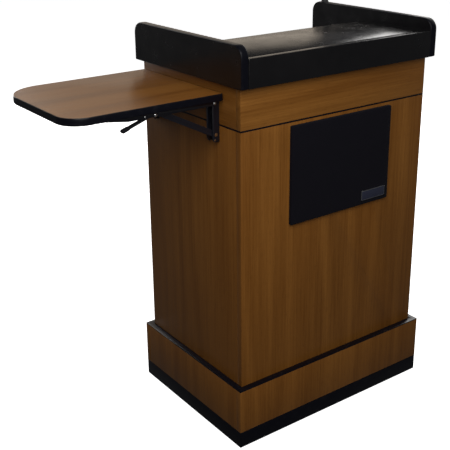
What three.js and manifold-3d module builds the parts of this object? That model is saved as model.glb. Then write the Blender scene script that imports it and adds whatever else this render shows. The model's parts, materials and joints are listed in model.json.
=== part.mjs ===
// Presentation lectern: a laminated cabinet on a flared base with hidden casters, a black top with
// raised side wings, a loudspeaker in the front, a pull-out keyboard tray, a gooseneck microphone and a
// side shelf on folding brackets. Millimetres, +Z up. The audience faces the -Y side and the presenter
// stands at +Y; left and right are as the audience sees them, so the side shelf is on the left, at -X.
import * as THREE from 'three';
import { mergeVertices } from 'three/addons/utils/BufferGeometryUtils.js';
import Module from 'manifold-3d';

const wasm = await Module();
wasm.setup();

// ---- Driving dimensions ----
const GAP = 0.3;                 // clearance between touching pieces
const BOARD = 19;                // thickness of the cabinet boards
const WIDTH = 660;               // cabinet, side face to side face
const DEPTH = 455;               // cabinet, front face to back face
const SIDE_X = WIDTH / 2;
const BACK_Y = DEPTH / 2;
const FRONT_Y = -BACK_Y;
const INNER_X = SIDE_X - BOARD;  // inner face of a side panel

const KICK_BOTTOM = 3;           // the base stands this far clear of the floor, on its casters
const KICK_TOP = 51;
const KICK_WALL = 40;            // ring width of the kick frame
const SKIRT_TOP = 183;
const CAP_THICK = 3;
const FLOOR_PANEL_Z = 110;       // underside of the cabinet's floor, where the casters are bolted
const INNER_SHELF_Z = 500;
const SEAM_Z = 907;              // underside of the black line between cabinet and upper section
const SEAM_THICK = 4;
const DECK_Z = 1020;             // underside of the wings and fascia
const SURFACE_Z = 1095;          // work surface
const WING_TOP_Z = 1128;

const WING_THICK = 22;
const WING_SIDE_OVERHANG = 13.5;
const WING_END_OVERHANG = 23;
const WING_CORNER = 32;
const WING_OUTER_X = SIDE_X + WING_SIDE_OVERHANG;
const WING_INNER_X = WING_OUTER_X - WING_THICK;
const WING_END_Y = BACK_Y + WING_END_OVERHANG;
const CREST_Y = 2.5;             // where the flat work surface ends and the reading surface falls away
const READING_END_Y = 245;
const READING_SLOPE = 14;        // degrees
const READING_THICK = 14;
const STOP_RISE = 6.5;           // height of the paper stop over the reading surface
const STOP_THICK = 11;

const DOOR_BOTTOM = 186;
const DOOR_TOP = 887.6;
const DOOR_CLEARANCE = 0.8;
const PULL_X = 36;
const PULL_Z = [470, 580];
const PULL_DEPTH = 30;
const PULL_BAR = 8;
const LOCK_Z = 640;
const LOCK_RADIUS = 8;

const SLIDE_THICK = 12.4;
const TRAY_Z = [938, 954];
const TRAY_Y = [-165, 222];

const GRILLE_X = [-170, 192];
const GRILLE_Z = [624, 899];
const GRILLE_THICK = 10;
const DRIVER_RADIUS = 100;
const DRIVER_DEPTH = 82;

const AMP_X = [-300, -20];
const AMP_Y = [-40, 150];
const AMP_HEIGHT = 66;

const SHELF_X = [-764, -334];
const SHELF_Y = [-163, 216];
const SHELF_Z = [978, 997];
const SHELF_FRONT_CORNER = 60;
const SHELF_REAR_CORNER = 100;
const TRIM = 2;                  // thickness of the edge moulding round the shelf
const BRACKET_Y = [-124, 167.5];
const LEG_HALF = 14;             // half the width of a bracket's wall leg
const LEG_DEPTH = 21;
const LEG_BOTTOM = 865;
const ARM_BOTTOM = 962.5;
const ARM_TAPER_X = -265;        // bracket points: x is counted from the cabinet's side face
const ARM_END = { x: -325, z: 971 };
const FOLD_PIVOT = { x: -16, z: 969 };
const STRUT_PIVOT = { x: -11, z: 885 };
const STRUT_END = { x: -168, z: 965 };
const STRUT_RADIUS = 8;
const LEVER_PIVOT = { x: -190, z: 966 };
const LEVER_SHOULDER = { x: -192, z: 961.7 };
const LEVER_PADDLE = { x: -256, z: 939.7 };
const LEVER_TIP = { x: -270, z: 935 };
const PIN_RADIUS = 3;

const CASTER_XY = [230, 130];
const CASTER_TRAIL = 24;
const WHEEL_RADIUS = 37.5;
const WHEEL_WIDTH = 24;
const WHEEL_SIDES = 24;

const MIC_Y = 204.5;
const MIC_LEAN = Math.atan2(0.6, -0.8);   // heading of the microphone's lean, towards the presenter
const NECK_RADIUS = 4.5;
const PLUG_RADIUS = 7.5;
const SOCKET_TOP_Z = 22;
const NECK_TILT_Z = SOCKET_TOP_Z + PLUG_RADIUS;   // the plug's round foot turns about this height
const NECK_BEND_Z = 172;

// ---- Geometry helpers ----
function toSolid(geometry) {
  const bare = geometry.index ? geometry.toNonIndexed() : geometry.clone();
  bare.deleteAttribute('normal');
  bare.deleteAttribute('uv');
  const merged = mergeVertices(bare, 1e-4);
  const vertProperties = new Float32Array(merged.attributes.position.array);
  const triVerts = new Uint32Array(merged.index.array);
  return new wasm.Manifold(new wasm.Mesh({ numProp: 3, vertProperties, triVerts }));
}

function toGeometry(solid) {
  const mesh = solid.getMesh();
  const geometry = new THREE.BufferGeometry();
  geometry.setAttribute('position', new THREE.BufferAttribute(new Float32Array(mesh.vertProperties), 3));
  geometry.setIndex(new THREE.BufferAttribute(new Uint32Array(mesh.triVerts), 1));
  geometry.computeVertexNormals();
  return geometry;
}

function unite(first, ...others) {
  return toGeometry(others.reduce((solid, other) => solid.add(toSolid(other)), toSolid(first)));
}

function cut(first, ...others) {
  return toGeometry(others.reduce((solid, other) => solid.subtract(toSolid(other)), toSolid(first)));
}

function box(x, y, z) {
  const geometry = new THREE.BoxGeometry(x[1] - x[0], y[1] - y[0], z[1] - z[0]);
  return geometry.translate((x[0] + x[1]) / 2, (y[0] + y[1]) / 2, (z[0] + z[1]) / 2);
}

function extrude(shape, depth) {
  return new THREE.ExtrudeGeometry(shape, { depth, bevelEnabled: false, curveSegments: 8 });
}

const X = new THREE.Vector3(1, 0, 0);
const Y = new THREE.Vector3(0, 1, 0);
const Z = new THREE.Vector3(0, 0, 1);
const MINUS_Y = new THREE.Vector3(0, -1, 0);

// A prism along X from a shape drawn in Y and Z.
function prismX(shape, x) {
  const basis = new THREE.Matrix4().makeBasis(Y, Z, X);
  return extrude(shape, x[1] - x[0]).applyMatrix4(basis).translate(x[0], 0, 0);
}

// A prism along Y from a shape drawn in X and Z.
function prismY(shape, y) {
  const basis = new THREE.Matrix4().makeBasis(X, Z, MINUS_Y);
  return extrude(shape, y[1] - y[0]).applyMatrix4(basis).translate(0, y[1], 0);
}

function prismZ(shape, z) {
  return extrude(shape, z[1] - z[0]).translate(0, 0, z[0]);
}

function polygon(points) {
  return new THREE.Shape(points.map(([u, v]) => new THREE.Vector2(u, v)));
}

// A rectangle with its own radius at each corner: low-low, high-low, high-high, low-high.
function roundedRectangle(u, v, radii) {
  const [a, b, c, d] = radii;
  const quarter = Math.PI / 2;
  const shape = new THREE.Shape();
  shape.absarc(u[0] + a, v[0] + a, a, 2 * quarter, 3 * quarter, false);
  shape.absarc(u[1] - b, v[0] + b, b, 3 * quarter, 4 * quarter, false);
  shape.absarc(u[1] - c, v[1] - c, c, 0, quarter, false);
  shape.absarc(u[0] + d, v[1] - d, d, quarter, 2 * quarter, false);
  return shape;
}

// A bar with round ends between two points.
function link(from, to, radius) {
  const along = Math.atan2(to.z - from.z, to.x - from.x);
  const shape = new THREE.Shape();
  shape.absarc(from.x, from.z, radius, along + Math.PI / 2, along + Math.PI * 1.5, false);
  shape.absarc(to.x, to.z, radius, along - Math.PI / 2, along + Math.PI / 2, false);
  return shape;
}

function rodY(x, z, radius, y) {
  const rod = new THREE.CylinderGeometry(radius, radius, y[1] - y[0], 12);
  return rod.translate(x, (y[0] + y[1]) / 2, z);
}

// A rectangular frame: the outline less the same outline moved in by the wall.
function ring(outerX, outerY, wallX, wallY, z) {
  const outline = polygon([[-outerX, -outerY], [outerX, -outerY], [outerX, outerY], [-outerX, outerY]]);
  const innerX = outerX - wallX;
  const innerY = outerY - wallY;
  const hole = [[-innerX, -innerY], [-innerX, innerY], [innerX, innerY], [innerX, -innerY]];
  outline.holes.push(new THREE.Path(hole.map(([u, v]) => new THREE.Vector2(u, v))));
  return prismZ(outline, z);
}

function lathe(profile, segments = 24, start = 0) {
  return new THREE.LatheGeometry(profile.map(([r, h]) => new THREE.Vector2(r, h)), segments, start);
}

// ---- Materials ----
const FINISHES = {
  walnut: [0x6b4a2c, 0.45, 0], blackLaminate: [0x17171b, 0.35, 0], blackEdge: [0x0b0b0e, 0.3, 0],
  cloth: [0x101018, 0.95, 0], steel: [0x14141c, 0.45, 0.6], zinc: [0xb8bcc0, 0.35, 0.9],
  blackPlastic: [0x1a1a1c, 0.5, 0], paperCone: [0x22211f, 0.9, 0], rubber: [0x2a2a2c, 0.85, 0],
};

function piece(name, geometry, finish) {
  const [color, roughness, metalness] = FINISHES[finish];
  const mesh = new THREE.Mesh(geometry, new THREE.MeshStandardMaterial({ color, roughness, metalness }));
  mesh.name = name;
  return mesh;
}

// Both sides of the cabinet: calls make('left', -1) and make('right', 1).
function bothSides(make) {
  return [['left', -1], ['right', 1]].map(([side, sign]) => make(side, sign));
}

// An X range mirrored to one side and put in order.
function sideRange(sign, near, far) {
  return [sign * near, sign * far].sort((a, b) => a - b);
}

// ---- Cabinet ----
function cabinet() {
  const wallZ = [KICK_TOP + GAP, SEAM_Z - GAP];
  const insideX = [-INNER_X + GAP, INNER_X - GAP];
  const insideFront = FRONT_Y + BOARD + GAP;
  const speakerX = (GRILLE_X[0] + GRILLE_X[1]) / 2;
  const speakerZ = (GRILLE_Z[0] + GRILLE_Z[1]) / 2;
  const speakerHole = new THREE.CylinderGeometry(DRIVER_RADIUS - 12, DRIVER_RADIUS - 12, 3 * BOARD, 32);
  speakerHole.translate(speakerX, FRONT_Y, speakerZ);
  const front = cut(box([-SIDE_X, SIDE_X], [FRONT_Y, FRONT_Y + BOARD], wallZ), speakerHole);
  const shelfY = [insideFront, BACK_Y - 32];
  return [
    ...bothSides((side, sign) => piece(`${side}_side_panel`,
      box(sideRange(sign, INNER_X, SIDE_X), [insideFront, BACK_Y], wallZ), 'walnut')),
    piece('front_panel', front, 'walnut'),
    piece('floor_panel', box(insideX, [insideFront, BACK_Y], [FLOOR_PANEL_Z, FLOOR_PANEL_Z + BOARD]), 'walnut'),
    piece('inner_shelf', box(insideX, shelfY, [INNER_SHELF_Z, INNER_SHELF_Z + BOARD]), 'walnut'),
    piece('divider_panel', box(insideX, [insideFront, BACK_Y], [SEAM_Z - BOARD, SEAM_Z - GAP]), 'walnut'),
    piece('seam_trim', ring(SIDE_X, BACK_Y, BOARD, BOARD, [SEAM_Z, SEAM_Z + SEAM_THICK]), 'blackEdge'),
  ];
}

function upperSection() {
  const z = [SEAM_Z + SEAM_THICK + GAP, DECK_Z - GAP];
  const front = box([-SIDE_X, SIDE_X], [FRONT_Y, FRONT_Y + BOARD], z);
  return [
    piece('upper_front_panel', front, 'walnut'),
    ...bothSides((side, sign) => piece(`upper_${side}_panel`,
      box(sideRange(sign, INNER_X, SIDE_X), [FRONT_Y + BOARD + GAP, BACK_Y], z), 'walnut')),
  ];
}

// ---- Top: wings, fascia, work surface, sloped reading surface and paper stop ----
function top() {
  const betweenX = [-WING_INNER_X + GAP, WING_INNER_X - GAP];
  const wingZ = [DECK_Z, WING_TOP_Z];
  const wing = roundedRectangle([-WING_END_Y, WING_END_Y], wingZ, [1, 1, WING_CORNER, WING_CORNER]);
  const fascia = box(betweenX, [-WING_END_Y, -WING_END_Y + BOARD], [DECK_Z, SURFACE_Z]);
  const flat = box(betweenX, [-WING_END_Y + BOARD + GAP, CREST_Y], [SURFACE_Z - BOARD, SURFACE_Z]);
  // Points on the slope: so far down it from the crest, and so far off its surface.
  const slope = THREE.MathUtils.degToRad(READING_SLOPE);
  const onSlope = (down, off) => [
    CREST_Y + GAP + down * Math.cos(slope) + off * Math.sin(slope),
    SURFACE_Z - down * Math.sin(slope) + off * Math.cos(slope),
  ];
  const readingRun = (READING_END_Y - CREST_Y) / Math.cos(slope) - STOP_THICK;
  const reading = polygon([
    [CREST_Y + GAP, SURFACE_Z - READING_THICK / Math.cos(slope)], onSlope(readingRun, -READING_THICK),
    onSlope(readingRun, 0), onSlope(0, 0),
  ]);
  const stopStart = readingRun + GAP;
  const stop = polygon([
    onSlope(stopStart, -READING_THICK), onSlope(stopStart + STOP_THICK, -READING_THICK),
    onSlope(stopStart + STOP_THICK, STOP_RISE), onSlope(stopStart, STOP_RISE),
  ]);
  return [
    ...bothSides((side, sign) => piece(`${side}_wing`,
      prismX(wing, sideRange(sign, WING_INNER_X, WING_OUTER_X)), 'blackLaminate')),
    piece('front_fascia', fascia, 'blackLaminate'),
    piece('work_surface', flat, 'blackLaminate'),
    piece('reading_surface', prismX(reading, betweenX), 'blackLaminate'),
    piece('paper_stop', prismX(stop, betweenX), 'blackEdge'),
  ];
}

// ---- Base: skirt boards round the foot of the cabinet, their black cap and the kick frame ----
function base() {
  const outerX = SIDE_X + GAP + BOARD;
  const outerY = BACK_Y + GAP + BOARD;
  const skirtZ = [KICK_TOP + GAP, SKIRT_TOP - CAP_THICK - GAP];
  const longX = [-outerX, outerX];
  const shortY = [-outerY + BOARD + GAP, outerY - BOARD - GAP];
  return [
    piece('skirt_front', box(longX, [-outerY, -outerY + BOARD], skirtZ), 'walnut'),
    piece('skirt_rear', box(longX, [outerY - BOARD, outerY], skirtZ), 'walnut'),
    ...bothSides((side, sign) => piece(`skirt_${side}`,
      box(sideRange(sign, outerX - BOARD, outerX), shortY, skirtZ), 'walnut')),
    piece('skirt_cap', ring(outerX, outerY, BOARD, BOARD, [SKIRT_TOP - CAP_THICK, SKIRT_TOP]), 'blackEdge'),
    piece('kick_frame', ring(outerX, outerY, KICK_WALL, KICK_WALL, [KICK_BOTTOM, KICK_TOP]), 'blackEdge'),
  ];
}

// ---- Casters: a swivelling fork with its axle, and a wheel on it ----
function casters() {
  const halfWheel = WHEEL_WIDTH / 2;
  const axle = { y: CASTER_TRAIL, z: WHEEL_RADIUS };
  const cheekShape = polygon([
    [-14, FLOOR_PANEL_Z - 3], [20, FLOOR_PANEL_Z - 3], [34, 42], [30, 29], [18, 29], [11, 42],
  ]);
  const pivotPlate = lathe([[0, FLOOR_PANEL_Z - 6], [24, FLOOR_PANEL_Z - 6], [24, FLOOR_PANEL_Z - 0.5],
    [0, FLOOR_PANEL_Z - 0.5]], 16).rotateX(Math.PI / 2);
  const cheek = (x) => prismX(cheekShape, [x, x + 2.5]);
  const axlePin = new THREE.CylinderGeometry(4, 4, WHEEL_WIDTH + 6, 16).rotateZ(Math.PI / 2);
  axlePin.translate(0, axle.y, axle.z);
  const rim = WHEEL_RADIUS / Math.cos(Math.PI / WHEEL_SIDES);
  const wheelProfile = [[4.5, -halfWheel], [rim - 4, -halfWheel], [rim, 4 - halfWheel], [rim, halfWheel - 4],
    [rim - 4, halfWheel], [4.5, halfWheel], [4.5, -halfWheel]];
  const wheel = lathe(wheelProfile, WHEEL_SIDES, Math.PI / WHEEL_SIDES).rotateZ(-Math.PI / 2);
  wheel.translate(0, axle.y, axle.z);
  const fork = unite(pivotPlate, cheek(-halfWheel - 3), cheek(halfWheel + 0.5), axlePin);
  const pieces = [];
  for (const [end, ySign] of [['front', -1], ['rear', 1]]) {
    for (const [side, xSign] of [['left', -1], ['right', 1]]) {
      const corner = new THREE.Group();
      corner.position.set(xSign * CASTER_XY[0], ySign * CASTER_XY[1], 0);
      corner.add(piece(`caster_fork_${end}_${side}`, fork.clone(), 'zinc'));
      corner.add(piece(`caster_wheel_${end}_${side}`, wheel.clone(), 'rubber'));
      pieces.push(corner);
    }
  }
  return pieces;
}

// ---- Rear doors with pulls, and a cam lock in the right one ----
function doors() {
  const doorY = [BACK_Y - BOARD, BACK_Y];
  const doorZ = [DOOR_BOTTOM, DOOR_TOP];
  const lockHole = rodY(PULL_X, LOCK_Z, LOCK_RADIUS + GAP, [doorY[0] - 5, doorY[1] + 5]);
  const pull = (x) => {
    const bar = [x - PULL_BAR / 2, x + PULL_BAR / 2];
    const y = [BACK_Y + GAP, BACK_Y + PULL_DEPTH];
    const outline = box(bar, y, PULL_Z);
    const fingerGap = box([x - PULL_BAR, x + PULL_BAR], [y[0] - 1, y[1] - PULL_BAR],
      [PULL_Z[0] + PULL_BAR, PULL_Z[1] - PULL_BAR]);
    return cut(outline, fingerGap);
  };
  const cam = box([PULL_X - 7, PULL_X + 7], [BACK_Y - 28, BACK_Y - 25], [LOCK_Z - 7, LOCK_Z + 44]);
  const barrel = rodY(PULL_X, LOCK_Z, LOCK_RADIUS, [BACK_Y - 26, BACK_Y + 1]);
  const rosette = rodY(PULL_X, LOCK_Z, LOCK_RADIUS + 4, [BACK_Y + GAP, BACK_Y + 2.5]);
  return [
    ...bothSides((side, sign) => {
      const leaf = box(sideRange(sign, 1.2, INNER_X - DOOR_CLEARANCE), doorY, doorZ);
      return piece(`${side}_door`, side === 'right' ? cut(leaf, lockHole) : leaf, 'walnut');
    }),
    ...bothSides((side, sign) => piece(`${side}_door_pull`, pull(sign * PULL_X), 'steel')),
    piece('door_lock', unite(barrel, cam, rosette), 'zinc'),
  ];
}

// ---- Pull-out keyboard tray between two slides ----
function keyboardTray() {
  const slideY = [TRAY_Y[0], TRAY_Y[1] - 7];
  const trayX = INNER_X - SLIDE_THICK - 2 * GAP;
  const profile = polygon([
    [TRAY_Y[0], TRAY_Z[0]], [TRAY_Y[1], TRAY_Z[0]], [TRAY_Y[1], TRAY_Z[1] + 10],
    [TRAY_Y[1] - 12, TRAY_Z[1] + 10], [TRAY_Y[1] - 12, TRAY_Z[1]], [TRAY_Y[0], TRAY_Z[1]],
  ]);
  return [
    piece('keyboard_tray', prismX(profile, [-trayX, trayX]), 'blackLaminate'),
    ...bothSides((side, sign) => piece(`tray_slide_${side}`,
      box(sideRange(sign, INNER_X - GAP - SLIDE_THICK, INNER_X - GAP), slideY,
        [TRAY_Z[0] - 10, TRAY_Z[1] + 6]), 'zinc')),
  ];
}

// ---- Sound: loudspeaker behind a cloth grille with a blank badge, and its amplifier ----
function sound() {
  const centre = [(GRILLE_X[0] + GRILLE_X[1]) / 2, (GRILLE_Z[0] + GRILLE_Z[1]) / 2];
  const grilleY = [FRONT_Y - GAP - GRILLE_THICK, FRONT_Y - GAP];
  const badge = box([87, 177], [grilleY[0] - GAP - 2, grilleY[0] - GAP], [637, 665]);
  const r = DRIVER_RADIUS;
  const deep = DRIVER_DEPTH;
  const wall = 3;
  // Heights run back from the front panel's inner face.
  const basket = lathe([
    [0, deep], [48, deep], [48, deep - 30], [40, deep - 31], [r - 14, wall + 2], [r, wall], [r, 0],
    [r - 8, 0], [r - 14, wall], [36, deep - 40], [0, deep - 40],
  ].reverse());
  const cone = lathe([
    [0, 20], [12, 21.5], [22, 25.5], [24, 27], [r - 20.6, 0], [r - 15, 0], [r - 15, 1.2], [r - 20, 1.2],
    [24, 29.5], [0, 29.5],
  ]);
  const place = (geometry) => geometry.translate(centre[0], FRONT_Y + BOARD + GAP, centre[1]);

  const ampZ = [INNER_SHELF_Z + BOARD + GAP, INNER_SHELF_Z + BOARD + AMP_HEIGHT];
  const panelZ = (ampZ[0] + ampZ[1]) / 2;
  const rockerX = [AMP_X[0] + 24, AMP_X[0] + 38];
  const pocket = box([rockerX[0] - 1, rockerX[1] + 1], [AMP_Y[1] - 9, AMP_Y[1] + 1],
    [panelZ - 13, panelZ + 13]);
  const rocker = polygon([
    [AMP_Y[1] - 6, panelZ - 9], [AMP_Y[1] + 4.5, panelZ - 10], [AMP_Y[1] + 1, panelZ],
    [AMP_Y[1] + 1, panelZ + 10], [AMP_Y[1] - 6, panelZ + 9],
  ]);
  const knob = (x) => lathe([[0, 0], [13, 0], [13, 3], [11, 4], [10, 16], [9, 17], [0, 17]], 16)
    .translate(x, AMP_Y[1] + GAP, panelZ);
  return [
    piece('speaker_grille', box(GRILLE_X, grilleY, GRILLE_Z), 'cloth'),
    piece('badge', badge, 'zinc'),
    piece('speaker_basket', place(basket), 'steel'),
    piece('speaker_cone', place(cone), 'paperCone'),
    piece('amplifier', cut(box(AMP_X, AMP_Y, ampZ), pocket), 'steel'),
    piece('volume_knob', knob(AMP_X[1] - 40), 'blackPlastic'),
    piece('tone_knob', knob(AMP_X[1] - 90), 'blackPlastic'),
    piece('power_rocker', prismX(rocker, rockerX), 'blackPlastic'),
  ];
}

// ---- Side shelf on two folding brackets ----
function shelfOutline(inset) {
  const inner = 6 - inset;
  return roundedRectangle([SHELF_X[0] + inset, SHELF_X[1] - inset], [SHELF_Y[0] + inset, SHELF_Y[1] - inset],
    [SHELF_FRONT_CORNER - inset, inner, inner, SHELF_REAR_CORNER - inset]);
}

// The wall leg is a channel open outwards; it carries the fold pin and the strut's pin.
function wallLeg(y) {
  const sheet = 2.5;
  const topZ = FOLD_PIVOT.z + 5;
  const flange = polygon([
    [-GAP, LEG_BOTTOM], [6 - LEG_DEPTH, LEG_BOTTOM], [-LEG_DEPTH, LEG_BOTTOM + 6], [-LEG_DEPTH, topZ - 4],
    [4 - LEG_DEPTH, topZ], [-GAP, topZ],
  ]);
  const plate = box([-GAP - 2, -GAP], [y - LEG_HALF, y + LEG_HALF], [LEG_BOTTOM, topZ]);
  const near = prismY(flange, [y - LEG_HALF, y - LEG_HALF + sheet]);
  const far = prismY(flange, [y + LEG_HALF - sheet, y + LEG_HALF]);
  return unite(plate, near, far,
    rodY(FOLD_PIVOT.x, FOLD_PIVOT.z, PIN_RADIUS, [y - LEG_HALF - 4.3, y + LEG_HALF + 4.3]),
    rodY(STRUT_PIVOT.x, STRUT_PIVOT.z, PIN_RADIUS, [y - LEG_HALF + 1, y + LEG_HALF - 1]));
}

// The arm is a channel open downwards, whose flanges straddle the wall leg.
function arm(y) {
  const { x, z } = FOLD_PIVOT;
  const sheet = 2.3;
  const inside = LEG_HALF + GAP;
  const outside = inside + sheet;
  const topZ = SHELF_Z[0] - GAP;
  const flange = polygon([
    [ARM_END.x, topZ], [ARM_END.x, ARM_END.z], [ARM_TAPER_X, ARM_BOTTOM], [x, ARM_BOTTOM], [x + 9.5, z - 5],
    [x + 9.5, topZ],
  ]);
  const pinHole = rodY(x, z, PIN_RADIUS + GAP, [y - outside - 3, y + outside + 3]);
  const web = box([ARM_END.x, x - 12], [y - outside, y + outside], [topZ - 3, topZ]);
  const near = prismY(flange, [y - outside, y - inside]);
  const far = prismY(flange, [y + inside, y + outside]);
  return cut(unite(web, near, far), pinHole);
}

// The strut and the lever lie side by side in the arm, so that the strut can pass the lever when folded.
function strut(y) {
  const bar = prismY(link(STRUT_PIVOT, STRUT_END, STRUT_RADIUS), [y - 11, y - 0.7]);
  const pinHole = rodY(STRUT_PIVOT.x, STRUT_PIVOT.z, PIN_RADIUS + GAP, [y - 14, y + 1]);
  return unite(cut(bar, pinHole), rodY(STRUT_END.x, STRUT_END.z, 4, [y - 13.6, y - 0.2]));
}

function releaseLever(y) {
  const lane = [y + 1.5, y + 10.5];
  const eye = rodY(LEVER_PIVOT.x, LEVER_PIVOT.z, 7, lane);
  const stem = prismY(link(LEVER_SHOULDER, LEVER_PADDLE, 3.2), lane);
  const paddle = prismY(link(LEVER_PADDLE, LEVER_TIP, 4.5), lane);
  return unite(eye, stem, paddle);
}

function sideShelf() {
  const moulding = shelfOutline(0);
  moulding.holes.push(new THREE.Path(shelfOutline(TRIM).getPoints(8).reverse()));
  const brackets = new THREE.Group();
  brackets.position.x = -SIDE_X;
  for (const [name, y] of [['front', BRACKET_Y[0]], ['rear', BRACKET_Y[1]]]) {
    brackets.add(piece(`${name}_wall_leg`, wallLeg(y), 'steel'));
    brackets.add(piece(`${name}_arm`, arm(y), 'steel'));
    brackets.add(piece(`${name}_strut`, strut(y), 'steel'));
    brackets.add(piece(`${name}_release_lever`, releaseLever(y), 'steel'));
  }
  return [
    piece('side_shelf', prismZ(shelfOutline(TRIM + GAP), SHELF_Z), 'walnut'),
    piece('shelf_edge_trim', prismZ(moulding, SHELF_Z), 'blackEdge'),
    brackets,
  ];
}

// ---- Gooseneck microphone on the right wing; its own +X is the way it leans ----
function microphone() {
  const stand = new THREE.Group();
  stand.position.set((WING_INNER_X + WING_OUTER_X) / 2, MIC_Y, WING_TOP_Z + GAP);
  stand.rotation.z = MIC_LEAN;
  const upright = (profile) => lathe(profile, 16).rotateX(Math.PI / 2);
  const roundFoot = [0, 1, 2, 3, 4, 5].map((step) => {
    const turn = (step / 5) * (Math.PI / 2);
    return [PLUG_RADIUS * Math.sin(turn), NECK_TILT_Z - PLUG_RADIUS * Math.cos(turn)];
  });
  const socket = upright([[0, 0], [12.5, 0], [12.5, 14], [9, SOCKET_TOP_Z - GAP], [0, SOCKET_TOP_Z - GAP]]);
  const lowerEnd = NECK_BEND_Z - NECK_RADIUS - GAP;
  const lower = upright([
    ...roundFoot, [PLUG_RADIUS, 60], [NECK_RADIUS, 66], [NECK_RADIUS, lowerEnd], [0, lowerEnd],
  ]);
  const bend = new THREE.QuadraticBezierCurve3(new THREE.Vector3(0, 0, NECK_BEND_Z),
    new THREE.Vector3(0, 0, NECK_BEND_Z + 90), new THREE.Vector3(80, 0, NECK_BEND_Z + 136));
  const section = new THREE.Shape().absarc(0, 0, NECK_RADIUS, 0, 2 * Math.PI, false);
  const tube = new THREE.ExtrudeGeometry(section, { extrudePath: bend, steps: 14, curveSegments: 5 });
  const knuckle = new THREE.SphereGeometry(NECK_RADIUS, 10, 8).translate(0, 0, NECK_BEND_Z);
  const upper = unite(tube, knuckle);
  const head = piece('mic_head', lathe([
    [0, GAP], [6.5, GAP], [6.5, 26], [9, 27], [14, 36], [15, 48], [13, 62], [8, 70], [0, 73],
  ], 16), 'blackPlastic');
  head.position.copy(bend.getPoint(1));
  head.quaternion.setFromUnitVectors(Y, bend.getTangent(1));
  stand.add(piece('mic_socket', socket, 'blackPlastic'), piece('gooseneck_lower', lower, 'steel'));
  stand.add(piece('gooseneck_upper', upper, 'steel'), head);
  return [stand];
}

// ---- Assembly, with the origin under the middle of the whole object's box ----
const lectern = new THREE.Group();
for (const section of [cabinet, upperSection, top, base, casters, doors, keyboardTray, sound, sideShelf,
  microphone]) {
  lectern.add(...section());
}
const extent = new THREE.Box3().setFromObject(lectern, true);
const middle = extent.getCenter(new THREE.Vector3());
lectern.position.set(-middle.x, -middle.y, -extent.min.z);

export default lectern;
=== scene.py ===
"""Looks of the presentation lectern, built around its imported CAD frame.

Metres, +Z up, audience at -Y.
"""

import json
import math
import random

import bmesh
import bpy
from mathutils import Matrix, Vector


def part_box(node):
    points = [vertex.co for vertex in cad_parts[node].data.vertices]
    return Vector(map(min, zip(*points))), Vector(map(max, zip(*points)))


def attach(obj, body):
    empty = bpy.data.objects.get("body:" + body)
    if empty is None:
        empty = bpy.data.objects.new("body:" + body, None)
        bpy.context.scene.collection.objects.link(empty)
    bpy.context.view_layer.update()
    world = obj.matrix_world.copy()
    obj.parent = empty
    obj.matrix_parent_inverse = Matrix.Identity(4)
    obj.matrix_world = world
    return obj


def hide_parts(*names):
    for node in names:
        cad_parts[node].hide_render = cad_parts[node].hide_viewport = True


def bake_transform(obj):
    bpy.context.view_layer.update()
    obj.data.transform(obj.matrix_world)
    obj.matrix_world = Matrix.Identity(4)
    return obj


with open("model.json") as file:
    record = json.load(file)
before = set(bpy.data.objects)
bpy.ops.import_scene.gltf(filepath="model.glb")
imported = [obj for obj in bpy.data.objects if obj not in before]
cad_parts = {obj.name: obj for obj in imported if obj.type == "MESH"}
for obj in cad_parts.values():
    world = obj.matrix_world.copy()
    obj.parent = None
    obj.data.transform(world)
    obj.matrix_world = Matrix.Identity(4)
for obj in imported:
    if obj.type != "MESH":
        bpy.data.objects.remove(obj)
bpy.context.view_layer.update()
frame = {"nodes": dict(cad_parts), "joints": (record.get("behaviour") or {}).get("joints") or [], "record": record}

RECORD = frame["record"]
BODY_OF = {node: body for body, nodes in RECORD["behaviour"]["bodies"].items() for node in nodes}
JOINTS = {joint["name"]: joint for joint in frame["joints"]}

MM = 0.001
FINE = 64                        # sides of the largest turned pieces
X = Vector((1, 0, 0))
Y = Vector((0, 1, 0))
Z = Vector((0, 0, 1))
GAP = 0.3 * MM

CABINET_LOW, CABINET_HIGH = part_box("front_panel")
CABINET_WIDTH = CABINET_HIGH.x - CABINET_LOW.x


def linked(name, data):
    made = bpy.data.objects.new(name, data)
    bpy.context.scene.collection.objects.link(made)
    return made


# ---- Camera, floor and light ----
# Fitted to the photo's straight edges: degrees, then cabinet widths from its front left foot.
AZIMUTH, ELEVATION, ROLL = (math.radians(angle) for angle in (-35.776, 19.223, -0.618))
CAMERA_OFFSET = Vector((-1.8737, -2.4970, 2.2787))
SENSOR = 36
LENS = 69.28
SHIFT_Y = -0.10
AMBIENT = 0.065
FLOOR_HALF = 60
SKY_RADIUS = 50
# Name, place, aim, size, watts, colour. The key falls off from the upper left of the front, and the
# rear sheet shows in the glossy tops.
LIGHTS = [
    ("key", (-0.78, -1.62, 2.05), (0.05, -0.25, 0.80), (1.9, 1.9), 53, (1, 0.98, 0.95)),
    ("rear_sheet", (2.15, 3.97, 2.2), (0.1, 0, 1.0), (2.8, 2.4), 13, (1, 0.85, 0.68)),
    ("rear_fill", (-0.1, 3.7, 1.9), (0.1, 0, 0.65), (1.1, 2.6), 95, (1, 0.98, 0.96)),
    ("side_fill", (3.6, 0.9, 1.7), (0.2, 0, 0.65), (2.6, 2.6), 72, (1, 0.98, 0.96)),
]


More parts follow.
